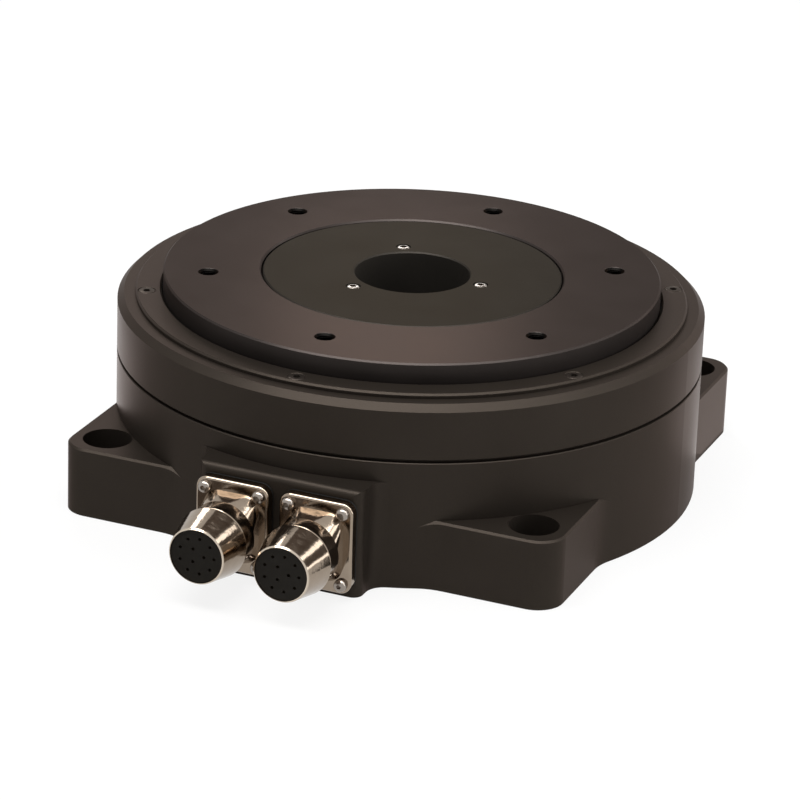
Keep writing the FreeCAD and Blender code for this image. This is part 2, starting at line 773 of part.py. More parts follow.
def make_centre():
    tube = new_body("centre_tube")
    low = dim.tube_flange_sink
    collar_low = cover_bottom - dim.collar_height
    turn(tube, "tube", [
        (bore_wall, low), (tube_flange_outer, low), (tube_flange_outer, tube_flange_top),
        (tube_outer, tube_flange_top), (tube_outer, collar_low - (collar_outer - tube_outer)),
        (collar_outer, collar_low), (collar_outer, cover_bottom), (bore_wall, cover_bottom)])
    head = half(dim.flat_head_4) + dim.screw_gap
    hole = half(dim.thread_4) + dim.screw_gap
    neck = low + dim.flat_height_4
    hole_ring(tube, "flange_screw_holes", tube_screw_ring,
              [(head, low), (hole, neck), (hole, tube_flange_top)], dim.tube_screw_count)
    thread = half(dim.thread_small)
    cover_ring = half(dim.cover_screw_circle)
    cover_screw_low = cover_top - dim.cover_screw_length
    hole_ring(tube, "cover_screw_holes", cover_ring,
              [(thread + dim.screw_gap, cover_screw_low), (thread + dim.screw_gap, cover_bottom)],
              dim.cover_screw_count)

    tube_thread = half(dim.thread_4)
    steps = [(half(dim.flat_head_4), low), (tube_thread, neck), (tube_thread, dim.floor_thickness)]
    screw_ring("centre_tube_screws", tube_screw_ring, steps, dim.tube_screw_count)

    cover = new_body("centre_cover")
    edge = dim.cover_edge
    felt_outer = cover_radius - dim.felt_inset
    felt_inner = felt_outer - dim.felt_width
    felt_top = cover_bottom + dim.felt_groove
    turn(cover, "disc", [
        (bore_wall, cover_bottom), (felt_inner, cover_bottom), (felt_inner, felt_top), (felt_outer, felt_top),
        (felt_outer, cover_bottom), (cover_radius, cover_bottom), (cover_radius, cover_top - edge),
        (cover_radius - edge, cover_top), (bore_wall + edge, cover_top), (bore_wall, cover_top - edge)])
    head = half(dim.cap_head_small)
    head_low = cover_top - dim.cap_height_small
    gap = dim.screw_gap
    hole = thread + gap
    mouth = head + gap
    steps = [(hole, cover_bottom), (hole, head_low), (mouth, head_low), (mouth, cover_top)]
    hole_ring(cover, "screw_holes", cover_ring, steps, dim.cover_screw_count)

    steps = [(thread, cover_screw_low + gap), (thread, head_low), (head, head_low), (head, cover_top)]
    screw_ring("centre_cover_screws", cover_ring, steps, dim.cover_screw_count)

    felt = new_body("centre_dust_seal")
    felt_low = cover_bottom - dim.run_gap + dim.soft_gap
    turn(felt, "ring", rectangle(felt_inner + gap, felt_outer - gap, felt_low, felt_top))


# Crossed roller bearing

def make_bearing():
    vee = (half(dim.roller_diameter) + dim.roller_gap) * math.sqrt(2)
    inner_face = bearing_pitch - half(dim.ring_split)
    outer_face = bearing_pitch + half(dim.ring_split)
    mouth = vee - half(dim.ring_split)

    inner = new_body("bearing_inner_ring")
    turn(inner, "ring", [
        (bearing_inner, bearing_bottom), (inner_face, bearing_bottom), (inner_face, bearing_middle - mouth),
        (bearing_pitch - vee, bearing_middle), (inner_face, bearing_middle + mouth),
        (inner_face, bearing_top), (bearing_inner, bearing_top)])
    for label, level, side in (("bearing_outer_ring_lower", bearing_bottom, -1),
                               ("bearing_outer_ring_upper", bearing_top, 1)):
        outer = new_body(label)
        turn(outer, "ring", [
            (outer_face, level), (bearing_outer, level), (bearing_outer, bearing_middle),
            (bearing_pitch + vee, bearing_middle), (outer_face, bearing_middle + side * mouth)])

    lean = math.sqrt(0.5)
    pitch_angle = 360 / dim.roller_pairs
    for label, side, angle in (("rollers_leaning_out", 1, 0), ("rollers_leaning_in", -1, half(pitch_angle))):
        rollers = new_body(label)
        along = half(dim.roller_length) * lean
        out = half(dim.roller_diameter) * lean
        low = (bearing_pitch - side * along, bearing_middle - along)
        high = (bearing_pitch + side * along, bearing_middle + along)
        corners = [low, high, (high[0] - side * out, high[1] + out), (low[0] - side * out, low[1] + out)]
        roller = turn(rollers, "roller", corners, axis="Edge1", angle=angle)
        around(rollers, [roller], dim.roller_pairs)

    spacers = new_body("roller_spacers")
    roller_spacing = math.pi * bearing_pitch / dim.roller_pairs
    thick = half(roller_spacing - dim.roller_diameter) - dim.spacer_gap
    corners = rectangle(bearing_pitch, bearing_pitch + half(dim.spacer_diameter), -thick, thick)
    spacer = turn(spacers, "spacer", corners, axis="Edge4", plane="XY_Plane", offset=bearing_middle)
    around(spacers, [spacer], 2 * dim.roller_pairs)
    bind_turn(spacers, half(half(pitch_angle)))


def bind_turn(body, angle):
    """Turn a finished body about Z by an angle from the sheet."""
    body.Placement = FreeCAD.Placement(V(0, 0, 0), FreeCAD.Rotation(V(0, 0, 1), number(angle)))
    bind(body, "Placement.Rotation.Angle", angle)


def make_clamps():
    clamp = new_body("outer_ring_clamp")
    outer = register_inner - dim.fit_gap
    turn(clamp, "ring", rectangle(clamp_inner, outer, clamp_bottom, bearing_bottom))
    hole = half(dim.thread_3) + dim.screw_gap
    hole_ring(clamp, "screw_holes", clamp_screw_ring, [(hole, clamp_bottom), (hole, bearing_bottom)],
              dim.clamp_screw_count, angle=dim.clamp_screw_angle)
    head = half(dim.cap_head_3)
    thread = half(dim.thread_3)
    head_low = clamp_bottom - dim.cap_height_3
    reach = bearing_bottom + dim.screw_grip - dim.thread_run_out
    steps = [(head, head_low), (head, clamp_bottom), (thread, clamp_bottom), (thread, reach)]
    screw_ring("outer_clamp_screws", clamp_screw_ring, steps, dim.clamp_screw_count,
               angle=dim.clamp_screw_angle)

    carrier = new_body("rotor_carrier")
    foot = sleeve_outer + half(dim.yoke_thickness)
    turn(carrier, "carrier", [
        (neck_inner, clamp_bottom), (sleeve_inner, clamp_bottom), (sleeve_inner, sleeve_bottom),
        (foot, sleeve_bottom), (foot, magnet_bottom), (sleeve_outer, magnet_bottom),
        (sleeve_outer, clamp_bottom), (shoulder_radius, clamp_bottom), (shoulder_radius, bearing_bottom),
        (neck_inner, bearing_bottom)])
    hole_ring(carrier, "screw_holes", carrier_screw_ring, [(hole, clamp_bottom), (hole, bearing_bottom)],
              dim.carrier_screw_count)
    screw_ring("rotor_carrier_screws", carrier_screw_ring, steps, dim.carrier_screw_count)


# Ring motor

def make_motor():
    core = new_body("stator_core")
    turn(core, "back_iron", rectangle(tooth_root, stator_outer, core_bottom, core_top))
    tooth = new_sketch(core, "tooth", offset=core_bottom)
    side = half(dim.tooth_width)
    shoe = half(dim.shoe_width)
    shoe_back = gap_radius + dim.shoe_thickness
    shoe_neck = shoe_back + dim.shoe_thickness
    root = tooth_root + half(dim.back_iron)
    outline(tooth, [
        (root, -side), (root, side), (shoe_neck, side), (shoe_back, shoe), (gap_radius, shoe),
        (gap_radius, -shoe), (shoe_back, -shoe), (shoe_neck, -side)])
    block = pad(core, "tooth_block", tooth, dim.core_stack)
    around(core, [block], dim.tooth_count)

    coils = new_body("stator_coils")
    window = side + dim.coil_gap
    coil_inner = shoe_neck + dim.coil_gap
    ring = new_sketch(coils, "turns", "YZ_Plane", offset=coil_inner)
    low = core_bottom - dim.coil_gap
    high = core_top + dim.coil_gap
    wide = window + dim.coil_side
    outline(ring, rectangle(-wide, wide, low - dim.coil_end, high + dim.coil_end, dim.coil_corner))
    outline(ring, rectangle(-window, window, low, high))
    coil = pad(coils, "coil", ring, coil_outer - coil_inner)
    around(coils, [coil], dim.tooth_count)

    yoke = new_body("rotor_yoke")
    turn(yoke, "ring", rectangle(yoke_inner, magnet_inner, magnet_bottom, magnet_top))

    magnets = new_body("rotor_magnets")
    turn(magnets, "blank", rectangle(magnet_inner, magnet_outer, magnet_bottom, magnet_top))
    gaps = new_sketch(magnets, "gap", offset=magnet_bottom)
    pitch_width = 2 * math.pi * magnet_outer / dim.magnet_count
    gap = half(pitch_width - dim.magnet_width)
    over = half(dim.magnet_thickness)
    outline(gaps, rectangle(magnet_inner - over, magnet_outer + over, -gap, gap))
    slot = pocket(magnets, "gap_cut", gaps, magnet_top - magnet_bottom, reverse=True)
    around(magnets, [slot], dim.magnet_count)


# Encoder

def encoder_screw_places():
    side = half(dim.encoder_screw_spacing)
    depth = scale_inner - dim.read_gap - half(dim.head_depth) - dim.bracket_margin
    return [(-side, -depth), (side, -depth)]


def make_encoder():
    scale = new_body("encoder_scale_ring")
    turn(scale, "ring", rectangle(scale_inner, scale_outer, core_bottom, core_bottom + dim.scale_height))

    face = scale_inner - dim.read_gap
    side = half(dim.head_width)
    bracket_top = dim.floor_thickness + dim.bracket_height
    back = face - dim.head_depth
    hole = half(dim.thread_small) + dim.screw_gap
    margin = dim.bracket_margin
    blocks = (("encoder_bracket", dim.floor_thickness, dim.bracket_height, side + margin, face - margin),
              ("encoder_read_head", bracket_top, dim.head_height, side, face))
    for label, level, height, reach, front in blocks:
        block = new_body(label)
        plan = new_sketch(block, "plan", offset=level)
        outline(plan, rectangle(-reach, reach, -front, -back))
        pad(block, "block", plan, height)
        holes = new_sketch(block, "screw_holes", offset=level)
        for x, y in encoder_screw_places():
            circle(holes, x, y, hole)
        pocket(block, "screw_cut", holes, height, reverse=True)

    screws = new_body("encoder_screws")
    top = bracket_top + dim.head_height
    reach = top - dim.floor_thickness + dim.encoder_screw_grip - dim.screw_gap
    rods = (("head", half(dim.cap_head_small), dim.cap_height_small, False),
            ("thread", half(dim.thread_small), reach, True))
    for name, radius, height, down in rods:
        plan = new_sketch(screws, name, offset=top)
        for x, y in encoder_screw_places():
            circle(plan, x, y, radius)
        pad(screws, f"{name}_rod", plan, height, reverse=down)


# Connectors

def place_on_pad(body, x):
    """Stand a connector piece, made along its own Z, on the pad with its Z outwards."""
    body.Placement = FreeCAD.Placement(V(0, 0, 0), FreeCAD.Rotation(V(1, 0, 0), 90))
    bind(body, "Placement.Base.x", x)
    bind(body, "Placement.Base.y", -pad_face)
    bind(body, "Placement.Base.z", dim.connector_height)


flange_back = dim.gasket_thickness
flange_front = flange_back + dim.flange_thickness
boss_front = flange_front + dim.boss_length
collar_front = boss_front + dim.collar_length
barrel_start = collar_front + dim.neck_length
barrel_front = barrel_start + dim.barrel_length
insert_radius = half(dim.barrel_diameter) - dim.barrel_wall
insert_front = barrel_front - dim.insert_recess
insert_back = insert_front - dim.insert_length


def make_connector_shell(label, x):
    body = new_body(label)
    wide = half(dim.flange_width)
    tall = half(dim.flange_height)
    plate = new_sketch(body, "flange", offset=flange_back)
    outline(plate, rectangle(-wide, wide, -tall, tall, dim.flange_corner))
    flange = pad(body, "flange_plate", plate, dim.flange_thickness)
    doc.recompute()
    fillet(body, "flange_rim", flange, level_edges(flange, flange_front), dim.flange_edge)
    holes = new_sketch(body, "screw_holes", offset=flange_front)
    for screw_x, screw_y in flange_screw_places():
        circle(holes, screw_x, screw_y, half(dim.flange_thread) + dim.screw_gap)
    pocket(body, "screw_cut", holes, dim.flange_thickness)

    boss = new_sketch(body, "boss", offset=flange_front)
    boss_x = half(dim.boss_width)
    boss_y = half(dim.boss_height)
    outline(boss, rectangle(-boss_x, boss_x, -boss_y, boss_y, dim.boss_corner))
    boss_end = new_sketch(body, "boss_end", offset=boss_front)
    end = half(dim.boss_end)
    outline(boss_end, rectangle(-end, end, -end, end, end - half(dim.boss_end_flat)))
    loft(body, "boss_block", boss, boss_end)

    neck = half(dim.neck_diameter)
    collar = half(dim.collar_diameter)
    back = half(dim.barrel_back_diameter)
    barrel = half(dim.barrel_diameter)
    tail = half(dim.tail_diameter)
    edge = dim.barrel_edge
    turn(body, "barrel", [
        (0, -dim.tail_length), (tail, -dim.tail_length), (tail, flange_front), (neck, flange_front),
        (neck, boss_front), (collar, boss_front),
        (collar, collar_front - edge), (collar - edge, collar_front), (neck, collar_front),
        (neck, barrel_start), (back - edge, barrel_start), (back, barrel_start + edge),
        (barrel, barrel_front - edge), (barrel - edge, barrel_front), (0, barrel_front)])
    seat = insert_radius + dim.fit_gap
    back_hole = insert_radius - dim.insert_step
    turn(body, "socket", [
        (0, -dim.tail_length), (back_hole, -dim.tail_length), (back_hole, insert_back),
        (seat, insert_back), (seat, barrel_front), (0, barrel_front)], cut=True)
    place_on_pad(body, x)


def contact_rings():
    return ((half(dim.inner_contact_circle), dim.inner_contact_count),
            (half(dim.outer_contact_circle), dim.outer_contact_count))


def make_connector_core(name, x):
    insert = new_body(f"{name}_insert")
    turn(insert, "disc", rectangle(0, insert_radius, insert_back, insert_front))
    radius = half(dim.contact_diameter)
    for index, (ring, count) in enumerate(contact_rings()):
        steps = [(radius + dim.screw_gap, insert_back), (radius + dim.screw_gap, insert_front)]
        hole_ring(insert, f"contact_holes_{index}", ring, steps, count)
    place_on_pad(insert, x)

    contacts = new_body(f"{name}_contacts")
    for index, (ring, count) in enumerate(contact_rings()):
        low = insert_back - dim.contact_tail
        high = insert_front - dim.contact_recess
        corners = [(ring, low), (ring + radius, low), (ring + radius, high), (ring, high)]
        contact = turn(contacts, f"contact_{index}", corners, axis="Edge4")
        around(contacts, [contact], count)
    place_on_pad(contacts, x)


def make_connector_fixings():
    gaskets = new_body("connector_gaskets")
    screws = new_body("connector_screws")
    wide = half(dim.flange_width)
    tall = half(dim.flange_height)
    plan = new_sketch(gaskets, "plan", "XZ_Plane", offset=pad_face)
    threads = new_sketch(screws, "threads", "XZ_Plane", offset=pad_face + flange_front)
    heads = new_sketch(screws, "heads", "XZ_Plane", offset=pad_face + flange_front)
    for side in (-1, 1):
        x = side * half(dim.connector_spacing)
        z = dim.connector_height
        outline(plan, rectangle(x - wide, x + wide, z - tall, z + tall, dim.flange_corner))
        circle(plan, x, z, half(dim.tail_diameter) + dim.fit_gap)
        for screw_x, screw_z in flange_screw_places(x, z):
            circle(plan, screw_x, screw_z, half(dim.flange_thread) + dim.screw_gap)
            circle(threads, screw_x, screw_z, half(dim.flange_thread))
            circle(heads, screw_x, screw_z, half(dim.flange_head))
    pad(gaskets, "sheet", plan, dim.gasket_thickness)
    pad(screws, "thread_rods", threads, flange_front + dim.screw_grip, reverse=True)
    pad(screws, "head_discs", heads, dim.flange_head_height)


def make_lead(label, diameter, points):
    """Round lead along straight runs joined by arcs."""
    spots = [V(*(number(value) for value in point)) for point in points]
    bend = number(dim.lead_bend)
    edges = []
    start = spots[0]
    for before, here, after in zip(spots, spots[1:], spots[2:]):
        back = (before - here).normalize()
        onward = (after - here).normalize()
        angle = back.getAngle(onward)
        reach = bend / math.tan(angle / 2)
        arrive = here + back * reach
        leave = here + onward * reach
        inward = (back + onward).normalize()
        middle = here + inward * (bend / math.sin(angle / 2) - bend)
        edges.append(Part.LineSegment(start, arrive).toShape())
        edges.append(Part.Arc(arrive, middle, leave).toShape())
        start = leave
    edges.append(Part.LineSegment(start, spots[-1]).toShape())
    path = Part.Wire(edges)
    section = Part.Wire([Part.makeCircle(number(diameter) / 2, spots[0], spots[1] - spots[0])])
    lead = doc.addObject("Part::Feature", label)
    lead.Label = label
    lead.Shape = path.makePipeShell([section], True, True)
    parts.append(lead)


def make_leads():
    """The motor's lead ends at a coil; the encoder's passes below the rotor, between two coils."""
    x = half(dim.connector_spacing)
    gap = dim.soft_gap
    start = -(pad_face + insert_back - dim.contact_tail - gap)
    pocket_back = -(bore_radius + dim.lead_pocket_depth)
    high = dim.connector_height
    low = core_bottom - dim.coil_gap - half(dim.coil_end)
    lean = math.pi / number(dim.tooth_count)
    coil_face = (coil_outer - x * math.sin(lean)) / math.cos(lean)
    end = -(coil_face + half(dim.motor_lead) * math.tan(lean) + gap)
    make_lead("motor_leads", dim.motor_lead, [
        (-x, start, high), (-x, pocket_back, high), (-x, -bore_radius, low), (-x, end, low)])
    low = dim.floor_thickness + half(dim.encoder_lead) + gap
    shoulder = -(bore_radius - dim.core_shoulder)
    bracket_front = -(scale_inner - dim.read_gap - dim.bracket_margin + gap)
    make_lead("encoder_lead", dim.encoder_lead, [
        (x, start, high), (x, pocket_back, high), (half(x), half(pocket_back + shoulder), low),
        (0, shoulder, low), (0, bracket_front, low)])


make_base_housing()
make_upper_housing()
make_housing_joint()
make_retainer()
make_rotary_table()
make_centre()
make_bearing()
make_clamps()
make_motor()
make_encoder()
for name, side in (("motor_connector", -1), ("encoder_connector", 1)):
    centre_x = side * half(dim.connector_spacing)
    make_connector_shell(f"{name}_shell", centre_x)
    make_connector_core(name, centre_x)
make_connector_fixings()
make_leads()

doc.recompute()
for thing in doc.Objects:
    if "Invalid" in thing.State or "Error" in thing.State:
        raise RuntimeError(f"{thing.Label} failed: {thing.State}")
os.makedirs("parts", exist_ok=True)
for piece in parts:
    if piece.Shape.isNull() or not piece.Shape.isValid():
        raise RuntimeError(f"{piece.Label} has no valid shape")
    piece.Shape.exportStep(f"parts/{piece.Label}.step")
    print(piece.Label, len(piece.Shape.Solids), round(piece.Shape.Volume, 1))
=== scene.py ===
"""Looks of a direct drive rotary table: its finishes, fasteners, threads, camera and light.

Metres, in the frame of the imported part: +Z up along the axis of rotation, the connectors towards -Y.
"""
import json
import math

import bpy
from mathutils import Matrix, Vector


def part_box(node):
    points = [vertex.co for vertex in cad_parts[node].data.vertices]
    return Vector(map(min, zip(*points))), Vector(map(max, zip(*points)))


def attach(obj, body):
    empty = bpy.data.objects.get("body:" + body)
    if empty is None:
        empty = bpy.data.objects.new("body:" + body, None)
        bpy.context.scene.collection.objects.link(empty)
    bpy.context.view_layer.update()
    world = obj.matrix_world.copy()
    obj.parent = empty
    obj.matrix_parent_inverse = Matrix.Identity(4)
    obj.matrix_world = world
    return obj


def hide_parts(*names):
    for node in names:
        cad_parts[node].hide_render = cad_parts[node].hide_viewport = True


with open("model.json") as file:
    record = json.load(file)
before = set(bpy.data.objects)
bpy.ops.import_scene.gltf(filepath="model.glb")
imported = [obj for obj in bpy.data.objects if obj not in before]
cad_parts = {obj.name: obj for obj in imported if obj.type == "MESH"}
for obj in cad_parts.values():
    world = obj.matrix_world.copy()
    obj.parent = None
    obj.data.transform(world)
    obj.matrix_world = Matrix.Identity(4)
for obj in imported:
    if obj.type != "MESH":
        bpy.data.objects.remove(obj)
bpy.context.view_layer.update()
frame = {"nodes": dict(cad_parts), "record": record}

MM = 0.001

# Places of the axes in a point
Y, Z = 1, 2


# Small tools

def linear(code):
    """sRGB hex colour as linear red, green, blue and alpha."""
    parts = [int(code[i:i + 2], 16) / 255 for i in (1, 3, 5)]
    light = [part / 12.92 if part <= 0.04045 else ((part + 0.055) / 1.055) ** 2.4 for part in parts]
    return light + [1.0]


def per_mm(size):
    """Texture scale at which one feature of a pattern is about this many millimetres wide."""
    return 1 / (size * MM)


def span(node, axis):
    """Lowest and highest place of a node along one axis, in millimetres."""
    low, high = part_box(node)
    return low[axis] / MM, high[axis] / MM


def add(tree, kind, settings=None, values=None, links=None):
    """One node, with its properties, its input values and what its inputs are linked to."""
    made = tree.nodes.new(kind)
    for name, value in (settings or {}).items():
        setattr(made, name, value)
    for name, value in (values or {}).items():
        made.inputs[name].default_value = value
    for name, socket in (links or {}).items():
        tree.links.new(socket, made.inputs[name])
    return made


def new_material(name, metallic, roughness, specular=0.5, edge="#ffffff"):
    """Material with one Principled shader, whose constant values sit on its own sockets."""
    material = bpy.data.materials.new(name)
    material.use_nodes = True
    tree = material.node_tree
    shader = tree.nodes["Principled BSDF"]
    shader.inputs["Metallic"].default_value = metallic
    shader.inputs["Roughness"].default_value = roughness
    shader.inputs["Specular IOR Level"].default_value = specular
    shader.inputs["Specular Tint"].default_value = linear(edge)
    return material, tree, shader


# Finishes

# A Mix node's colour sockets go by number, because its number sockets have the same names
MIX_SHARE, MIX_FROM, MIX_TO, MIX_RESULT = 0, 6, 7, 2
# Multiplied with a place, this leaves its part across the axis of rotation
ACROSS = (1.0, 1.0, 0.0)
# A cloud is this many grains or rings wide
CLOUD_SIZE = 40.0
CLOUD_DETAIL = 2.0
CLOUD_SHARE_OVER_GRAIN = 0.5
CLOUD_SHARE_OVER_RINGS = 0.6
GRAIN_DETAIL = 3.0
RING_DETAIL = 2.0


def from_axis(tree, place):
    """Distance of a place from the axis of rotation."""
    flat = add(tree, "ShaderNodeVectorMath", {"operation": "MULTIPLY"}, {1: ACROSS},
               {0: place}).outputs["Vector"]
    return add(tree, "ShaderNodeVectorMath", {"operation": "LENGTH"}, links={0: flat}).outputs["Value"]


def dress(tree, shader, place, pattern, size, cloud_share, dark, light, roughness, spread, relief):
    """Colour, roughness and relief of a finish, from its pattern and a faint cloudiness over it."""
    cloud = add(tree, "ShaderNodeTexNoise",
                values={"Scale": per_mm(size * CLOUD_SIZE), "Detail": CLOUD_DETAIL},
                links={"Vector": place}).outputs["Fac"]
    blend = add(tree, "ShaderNodeMix", {"data_type": "FLOAT"}, {"Factor": cloud_share},
                {"A": pattern, "B": cloud}).outputs["Result"]
    colour = add(tree, "ShaderNodeMix", {"data_type": "RGBA"},
                 {MIX_FROM: linear(dark), MIX_TO: linear(light)}, {MIX_SHARE: blend}).outputs[MIX_RESULT]
    rough = add(tree, "ShaderNodeMapRange",
                values={"To Min": roughness - spread, "To Max": roughness + spread},
                links={"Value": blend}).outputs["Result"]
    bumps = add(tree, "ShaderNodeBump", values={"Strength": 1.0, "Distance": relief * MM},
                links={"Height": pattern}).outputs["Normal"]
    tree.links.new(colour, shader.inputs["Base Color"])
    tree.links.new(rough, shader.inputs["Roughness"])
    tree.links.new(bumps, shader.inputs["Normal"])


def mottled(name, dark, light, grain, roughness, metallic=0.0, relief=0.01, spread=0.06, **gloss):
    """Finish with an even grain; grain and relief are in millimetres."""
    material, tree, shader = new_material(name, metallic, roughness, **gloss)
    place = add(tree, "ShaderNodeTexCoord").outputs["Object"]
    grains = add(tree, "ShaderNodeTexNoise", values={"Scale": per_mm(grain), "Detail": GRAIN_DETAIL},
                 links={"Vector": place}).outputs["Fac"]
    dress(tree, shader, place, grains, grain, CLOUD_SHARE_OVER_GRAIN, dark, light,
          roughness, spread, relief)
    return material


def turned(name, dark, light, pitch, roughness, metallic=0.0, relief=0.004, spread=0.06, **gloss):
    """Finish left by a lathe, with rings about the axis; pitch and relief are in millimetres."""
    material, tree, shader = new_material(name, metallic, roughness, **gloss)
    place = add(tree, "ShaderNodeTexCoord").outputs["Object"]
    rings = add(tree, "ShaderNodeTexNoise", {"noise_dimensions": "1D"},
                {"Scale": per_mm(pitch), "Detail": RING_DETAIL},
                {"W": from_axis(tree, place)}).outputs["Fac"]
    dress(tree, shader, place, rings, pitch, CLOUD_SHARE_OVER_RINGS, dark, light,
          roughness, spread, relief)
    return material


def tint(material, colour, share):
    """Another colour over that of a finish, as far as a socket of its tree says."""
    tree = material.node_tree
    base = tree.nodes["Principled BSDF"].inputs["Base Color"]
    plain = base.links[0].from_socket
    mixed = add(tree, "ShaderNodeMix", {"data_type": "RGBA"}, {MIX_TO: linear(colour)},
                {MIX_SHARE: share, MIX_FROM: plain}).outputs[MIX_RESULT]
    tree.links.new(mixed, base)


def paint_rim_highlight(material, colour, front, depth):
    """Painted highlight: lighter colour on a rim that faces -Y; sizes are in millimetres."""
    tree = material.node_tree
    place = add(tree, "ShaderNodeTexCoord").outputs["Object"]
    along = add(tree, "ShaderNodeSeparateXYZ", links={0: place}).outputs["Y"]
    highlight_share = add(tree, "ShaderNodeMapRange",
                 values={"From Min": front * MM, "From Max": (front + depth) * MM,
                         "To Min": 1.0, "To Max": 0.0},
                 links={"Value": along}).outputs["Result"]
    tint(material, colour, highlight_share)


def paint_hole_shade(material, colour, circle, reach, level):
    """Painted shade: darker colour in tapped holes on a circle about the axis, below a level.

    The circle's radius, the reach to both sides of it and the level are in millimetres.
    """
    tree = material.node_tree
    place = add(tree, "ShaderNodeTexCoord").outputs["Object"]
    near = add(tree, "ShaderNodeMath", {"operation": "COMPARE"}, {1: circle * MM, 2: reach * MM},
               {0: from_axis(tree, place)}).outputs["Value"]
    up = add(tree, "ShaderNodeSeparateXYZ", links={0: place}).outputs["Z"]
    below = add(tree, "ShaderNodeMath", {"operation": "LESS_THAN"}, {1: level * MM},
                {0: up}).outputs["Value"]
    inside = add(tree, "ShaderNodeMath", {"operation": "MULTIPLY"},
                 links={0: near, 1: below}).outputs["Value"]
    tint(material, colour, inside)


# The table's tapped holes, in millimetres and degrees
TABLE_HOLE_CIRCLE = 62.5
TABLE_HOLE_RADIUS = 2.5
TABLE_HOLES = 6
FIRST_HOLE_ANGLE = 28.6
table_top = span("rotary_table", Z)[1]
connector_front = span("motor_connector_shell", Y)[0]

# The real grain of blasting and etching and the real pitch of fine turning are about a tenth of a
# millimetre or less. They are drawn a few times as wide, so that they show.

# Black anodised aluminium, bead blasted: warm black with an even satin sheen of the same colour
blasted_black = mottled("black_anodised_aluminium_bead_blasted", "#2b2622", "#342f2a", grain=0.5,
                        roughness=0.4, metallic=0.45, specular=0.03, edge="#d0c1bd")
# Black anodised aluminium, fine turned: the same black with faint rings about the axis, and painted
# shade in the tapped holes
turned_black = turned("black_anodised_aluminium_fine_turned", "#2e2a28", "#383331", pitch=0.35,
                      roughness=0.34, metallic=0.6, specular=0.0, edge="#c4bdba")
# Painted shade: the table's tapped holes are drawn darker below its top
paint_hole_shade(turned_black, "#0d0c0b", circle=TABLE_HOLE_CIRCLE, reach=3.6, level=table_top - 0.1)
# Black anodised aluminium, matt etched: duller and a little greyer than the ring around it
etched_black = mottled("black_anodised_aluminium_matt_etched", "#2c2926", "#35322e", grain=0.4,
                       roughness=0.5, metallic=0.5, specular=0.0, edge="#aeaba8")
# Nickel plate on turned brass: dark warm mirror, with a slight waviness that bends its reflections
nickel = mottled("nickel_plated_brass_turned", "#86796b", "#9e9081", grain=3.0,
                 roughness=0.12, metallic=1.0, relief=0.06, spread=0.04)
# Painted highlight: the front rim of each connector is drawn lighter
paint_rim_highlight(nickel, "#d2c5b4", front=connector_front, depth=0.7)
# Zinc plated steel, cold headed: small bright heads
zinc = mottled("zinc_plated_steel_cold_headed", "#857d76", "#9c948c", grain=0.8,
               roughness=0.22, metallic=1.0, relief=0.004)
# Black oxide steel, cold headed: warm black, a little lighter than the ring around it
black_oxide = mottled("black_oxide_steel_cold_headed", "#3a3430", "#4a433e", grain=0.8,
                      roughness=0.3, metallic=0.7, relief=0.004, specular=0.0, edge="#cac8c6")
# Glass-filled nylon, moulded: black and dull, with a fine moulded grain
nylon = mottled("glass_filled_nylon_moulded", "#191714", "#201d19", grain=0.6,
                roughness=0.55, specular=0.09)
# Gold plated brass, turned: small deep yellow glints
gold = mottled("gold_plated_brass_turned", "#b58f3c", "#d0a955", grain=0.8,
               roughness=0.22, metallic=1.0, relief=0.003)
# Nitrile rubber, moulded: deep black, soft sheen
rubber = mottled("nitrile_rubber_moulded", "#101010", "#191918", grain=0.6,
                 roughness=0.7, specular=0.15, relief=0.012)
# Wool felt, pressed: grey with a matted surface
felt = mottled("wool_felt_pressed", "#403e3b", "#56534f", grain=0.4,
               roughness=0.92, specular=0.1, relief=0.08)
# Bare aluminium, turned: pale grey with rings
bare_aluminium = turned("bare_aluminium_turned", "#a9a8a6", "#c2c1be", pitch=0.4,
                        roughness=0.34, metallic=1.0)
# Bearing steel, ground: cool grey, nearly mirror
bearing_steel = turned("bearing_steel_ground", "#8f9092", "#a6a7a9", pitch=0.3,
                       roughness=0.2, metallic=1.0, relief=0.001)
# Electrical steel sheet, stacked: grey with a faint varnish
core_steel = mottled("electrical_steel_stacked", "#55575a", "#66686b", grain=0.5,
                     roughness=0.45, metallic=0.8, relief=0.008)
# Enamelled copper wire, wound: deep orange brown
copper = mottled("enamelled_copper_wound", "#8a4a22", "#a65e2e", grain=0.7,
                 roughness=0.35, metallic=0.7, relief=0.05)
# Acetal, moulded: off-white and waxy
acetal = mottled("acetal_moulded", "#d8d6cf", "#e6e4dd", grain=0.8, roughness=0.4, relief=0.004)

FINISH_OF_SLOT = {
    "black_anodised_housing": blasted_black,
    "black_anodised_table": turned_black,
    "black_anodised_cover": etched_black,
    "bare_aluminium": bare_aluminium,
    "black_steel": black_oxide,
    "bright_steel": zinc,
    "bearing_steel": bearing_steel,
    "core_steel": core_steel,
    "copper": copper,
    "nickel": nickel,
    "gold": gold,
    "black_rubber": rubber,
    "felt": felt,
    "black_plastic": nylon,
    "white_plastic": acetal,
}
SLOT_OF_NODE = {row["node"]: row["material_slot"] for row in frame["record"]["subparts"]}
for node, slot in SLOT_OF_NODE.items():
    for place in frame["nodes"][node].material_slots:
        place.material = FINISH_OF_SLOT[slot]


# Screws with sockets, and the threads of the table's holes

SCREW_SIDES = 48
ROUNDING_STEPS = 3
HEXAGON_TURN = math.pi / 3
WELD_DISTANCE = 1e-6
SHARP_ANGLE = math.radians(35)
TWIST_SEED = 7
THREAD_STEPS = 24
RIDGE_SIDES = 6


